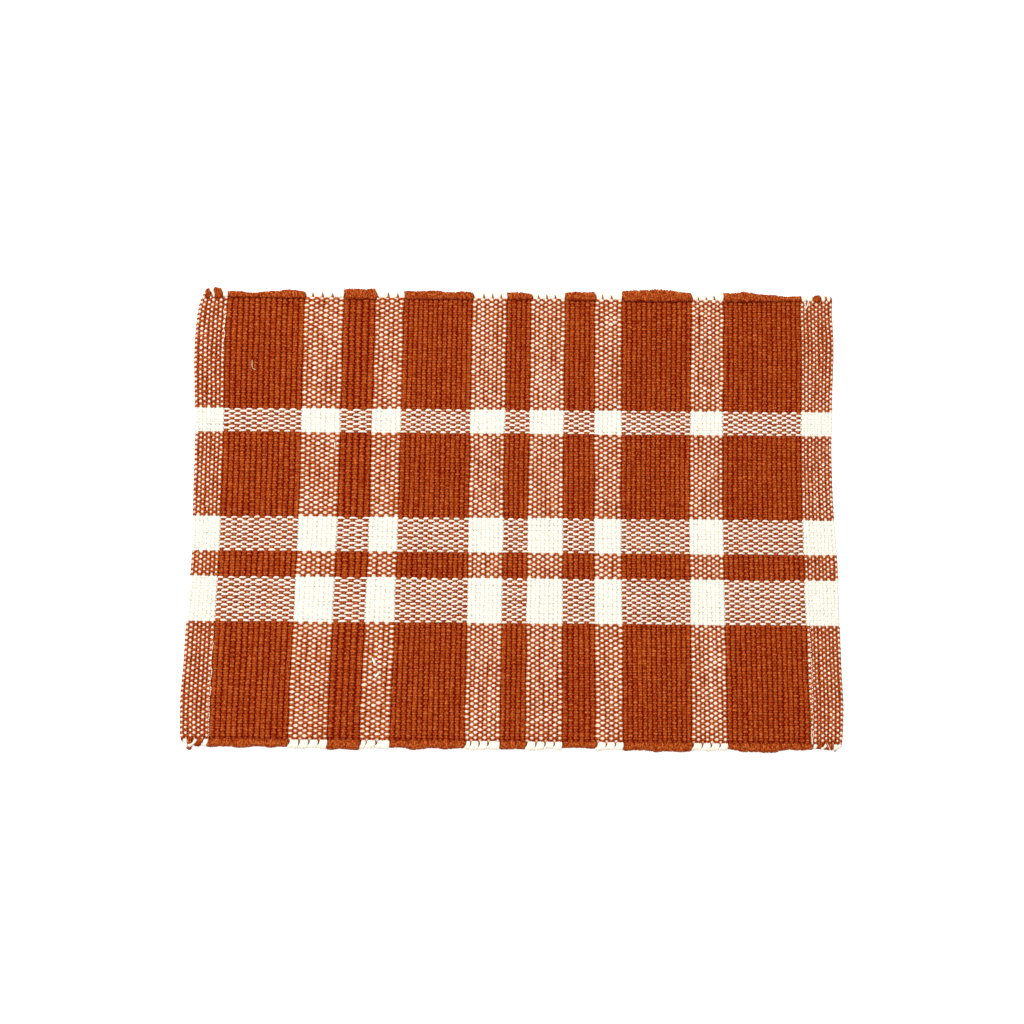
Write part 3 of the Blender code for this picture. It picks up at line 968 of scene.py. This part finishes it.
def lobe_rings(lobe, end, seed):
    """The rings of one lobe, across it from left to right, and their middles."""
    form = lobe.form
    sign, inner = (1, BAND_SIDES[0]) if end == "far" else (-1, BAND_SIDES[-1])
    outline = np.array(ROLL_OUTLINE)
    outward = np.clip(outline[:, 0], 0, 1)
    outward = outward * outward * (3 - 2 * outward)

    span = rib_place(lobe.last) - rib_place(lobe.first)
    columns = max(LEAST_COLUMNS, round(span / LOBE_STEP))
    across = np.linspace(-1, 1, columns)[:, None]
    from_side = (1 - abs(across)) * span / 2
    fullness = np.sqrt(1 - (1 - np.clip(from_side / form.rounding, 0, 1)) ** 2)
    strand = across * span / 2 / STRAND_PITCH + STRAND_SLANT * outward
    chance = np.random.default_rng(seed)
    relief = STRAND_RELIEF * np.cos(2 * np.pi * (strand + chance.random()))
    relief = relief * wavering(seed + 1, STRAND_FADE, STRAND_FADE_LENGTH, 1, columns).T
    relief = relief + POINT_CHANCE * chance.normal(size=relief.shape).clip(-MOST_CHANCE, MOST_CHANCE)
    size = 1 + relief + COLUMN_CHANCE * chance.normal(size=(columns, 1)).clip(-MOST_CHANCE, MOST_CHANCE)
    reach = lobe.reach * (1 + REACH_CHANCE * chance.normal())
    out_size = form.side_reach + (1 - form.side_reach) * fullness
    height_size = form.side_height + (1 - form.side_height) * fullness
    out = ROLL_MIDDLE.out + (outline[:, 0] - ROLL_MIDDLE.out) * out_size * size
    out = out + LAP_LESS[lobe.yarn, end] * (1 - outward)
    height = ROLL_MIDDLE.height + (outline[:, 1] - ROLL_MIDDLE.height) * height_size * size
    middle = (lobe.first + lobe.last) / 2
    width = form.root + (form.tip - form.root) * outward
    rib = middle + lobe.lean * (outward - 0.5) + across * width * (lobe.last - lobe.first) / 2
    x0 = rib_place(rib)
    wave = curve_through([wave.rib for wave in WAVES], [getattr(wave, end) * MM for wave in WAVES], rib)
    beyond = sign * reach * (roll_width(x0, end) + wave)
    z = np.maximum(height * lobe.height, LOWEST_POINT) * ROLL_HEIGHT
    rings = laid(x0, np.full_like(x0, inner), z, out * beyond)
    return rings[:, ::sign], rings.mean(axis=1)


def roll_piece(name, yarn):
    """The lobes of the rolled ends in one colour, along both edges."""
    tubes = Tubes()
    for end in ("far", "near"):
        for number, lobe in enumerate(lobes_of(end)):
            if lobe.yarn == yarn:
                rings, middles = lobe_rings(lobe, end, LOBE_SEEDS[end] + number)
                tubes.add_rings(rings[None], middles[None], 1.0)
    return tubes.make(name, COTTON[yarn, "roll"], LOBE_MAP_COLUMNS)


def loose_piece(name, yarn):
    """The loose yarns and slubs of one colour."""
    tubes = Tubes()
    for number, loose in enumerate(LOOSE_YARNS):
        if loose.yarn != yarn:
            continue
        run = np.hypot(*(np.array(loose.last) - loose.first))
        t = np.linspace(0, 1, max(LEAST_RINGS, round(run / LOOSE_STEP)))
        rib, pick = (a + (b - a) * t for a, b in zip(loose.first, loose.last))
        sway = wavering(LOOSE_SEED + number, loose.sway * MM, LOOSE_SWAY_LENGTH, 1, len(t))[0]
        z = (loose.height + loose.bob * np.cos(2 * np.pi * pick)) * MM
        half_width = loose.half_width * MM * (1 - LOOSE_TAPER * abs(2 * t - 1) ** 4)
        centres = laid(rib_place(rib) + sway, pick_place(pick), z)
        tubes.add(centres[None], LOOSE_FLATNESS * half_width, half_width, 1.0)
    return tubes.make(name, COTTON[yarn, "weft"])


def rust_between(bands, firsts, places):
    """1 where the middle between two places lies in a rust stripe or band, and 0 elsewhere."""
    numbers = within(firsts, (places[:-1] + places[1:]) / 2)
    return np.array([bands[number].yarn == "rust" for number in numbers]).astype(np.int32)


def ground_sheet():
    """The felted fibres between the yarns: a thin sheet in the cloth's middle, seen only in the gaps."""
    ribs = np.linspace(GROUND_INSET, WARPS - GROUND_INSET, GROUND_COLUMNS)
    ribs = np.unique(np.concatenate([ribs, STRIPE_FIRST[1:-1]]))
    picks = np.unique(np.concatenate([np.linspace(0, PICKS, GROUND_ROWS), BAND_FIRST[1:-1]]))
    picks = np.array([0, *picks, PICKS])
    x0, y0 = np.meshgrid(rib_place(ribs), pick_place(picks))
    outward = np.zeros_like(x0)
    outward[0] = GROUND_REACH * roll_width(x0[0], "far")
    outward[-1] = -GROUND_REACH * roll_width(x0[-1], "near")
    points = laid(x0, y0, MIDDLE - GROUND_DEPTH, outward)
    rows, columns = x0.shape
    index = np.arange(rows * columns).reshape(rows, columns)
    faces = np.stack([index[:-1, :-1], index[1:, :-1], index[1:, 1:], index[:-1, 1:]], axis=-1)
    faces = faces.reshape(-1, 4)
    mesh = bpy.data.meshes.new("woven_ground")
    mesh.from_pydata(points.reshape(-1, 3).tolist(), [], faces.tolist())
    layer = mesh.uv_layers.new(name="OFBake")
    u, v = np.meshgrid(ribs / WARPS, np.linspace(GROUND_MARGIN, 1 - GROUND_MARGIN, rows))
    pairs = np.stack([u.reshape(-1), v.reshape(-1)], axis=-1)[faces.reshape(-1)]
    layer.uv.foreach_set("vector", pairs.astype(np.float32).reshape(-1))
    kinds = rust_between(STRIPES, STRIPE_FIRST, ribs) + rust_between(BANDS, BAND_FIRST, picks)[:, None]
    mesh.polygons.foreach_set("material_index", kinds.reshape(-1))
    # Lying deep in the cloth, the sheet takes its cotton's painted shade
    mixed = cotton("mixed_ground_cotton", DYES_AND_PAINTED_LIGHT["mixed"], *WAYS["warp"])
    for material in (COTTON["white", "warp"], mixed, COTTON["rust", "warp"]):
        mesh.materials.append(material)
    mesh.shade_smooth()
    return linked("woven_ground", mesh)


# ---------------------------------------------------------------- the studio
def build_floor():
    bpy.ops.mesh.primitive_plane_add(size=FLOOR_SIZE, location=(0, 0, -FLOOR_GAP))
    floor = bpy.context.active_object
    floor.name = "floor"
    graph = Graph("pale_floor")
    graph.fill(graph.shader, {
        "Base Color": FLOOR_COLOUR,
        "Roughness": 1.0,
        "Specular IOR Level": 0.0,
        "Emission Color": (1.0, 1.0, 1.0, 1.0),
        "Emission Strength": FLOOR_GLOW,
    })
    floor.data.materials.append(graph.material)


def build_light():
    world = bpy.data.worlds.new("studio")
    bpy.context.scene.world = world
    world.use_nodes = True
    background = world.node_tree.nodes["Background"]
    background.inputs["Color"].default_value = STUDIO_COLOUR
    background.inputs["Strength"].default_value = STUDIO_STRENGTH
    light = bpy.data.lights.new("soft_box", "AREA")
    light.shape = "DISK"
    light.size = LAMP_SIZE
    light.energy = LAMP_POWER
    lamp = linked("soft_box", light)
    lamp.location = LAMP_PLACE
    lamp.rotation_mode = "QUATERNION"
    lamp.rotation_quaternion = lamp.location.to_track_quat("Z", "Y")


def build_camera():
    tilt = np.radians(CAMERA_TILT)
    turn = np.radians(CAMERA_TURN)
    camera = linked("camera", bpy.data.cameras.new("camera"))
    camera.data.sensor_width = CAMERA_SENSOR
    camera.data.lens = CAMERA_LENS
    back = np.array([np.sin(tilt) * np.sin(turn), -np.sin(tilt) * np.cos(turn), np.cos(tilt)])
    aim = np.array([CAMERA_AIM[0] - PLAN_MIDDLE[0], CAMERA_AIM[1] - PLAN_MIDDLE[1], 0.0])
    camera.location = aim + CAMERA_DISTANCE * back
    camera.rotation_euler = (tilt, 0.0, turn)
    bpy.context.scene.camera = camera
    bpy.context.scene.view_settings.view_transform = "Standard"


# ---------------------------------------------------------------- everything
def main():
    build_camera()
    build_floor()
    build_light()
    made = []
    firsts = BAND_FIRST.copy()
    firsts[0] -= HEADING_PICKS
    firsts[-1] += HEADING_PICKS
    for number, band in enumerate(BANDS):
        picks = np.arange(firsts[number], firsts[number + 1])
        made.append((weft_piece(f"{band.yarn}_weft_{number + 1}", band.yarn, picks), band.yarn))
    for yarn in ("rust", "white"):
        made.append((warp_piece(f"{yarn}_warp", yarn), yarn))
        made.append((roll_piece(f"{yarn}_rolled_ends", yarn), yarn))
        made.append((loose_piece(f"{yarn}_loose_yarns", yarn), yarn))
    ground = ground_sheet()
    for piece, yarn in made + [(ground, "rust")]:
        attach(piece, "root")
        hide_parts("woven_cloth")


main()
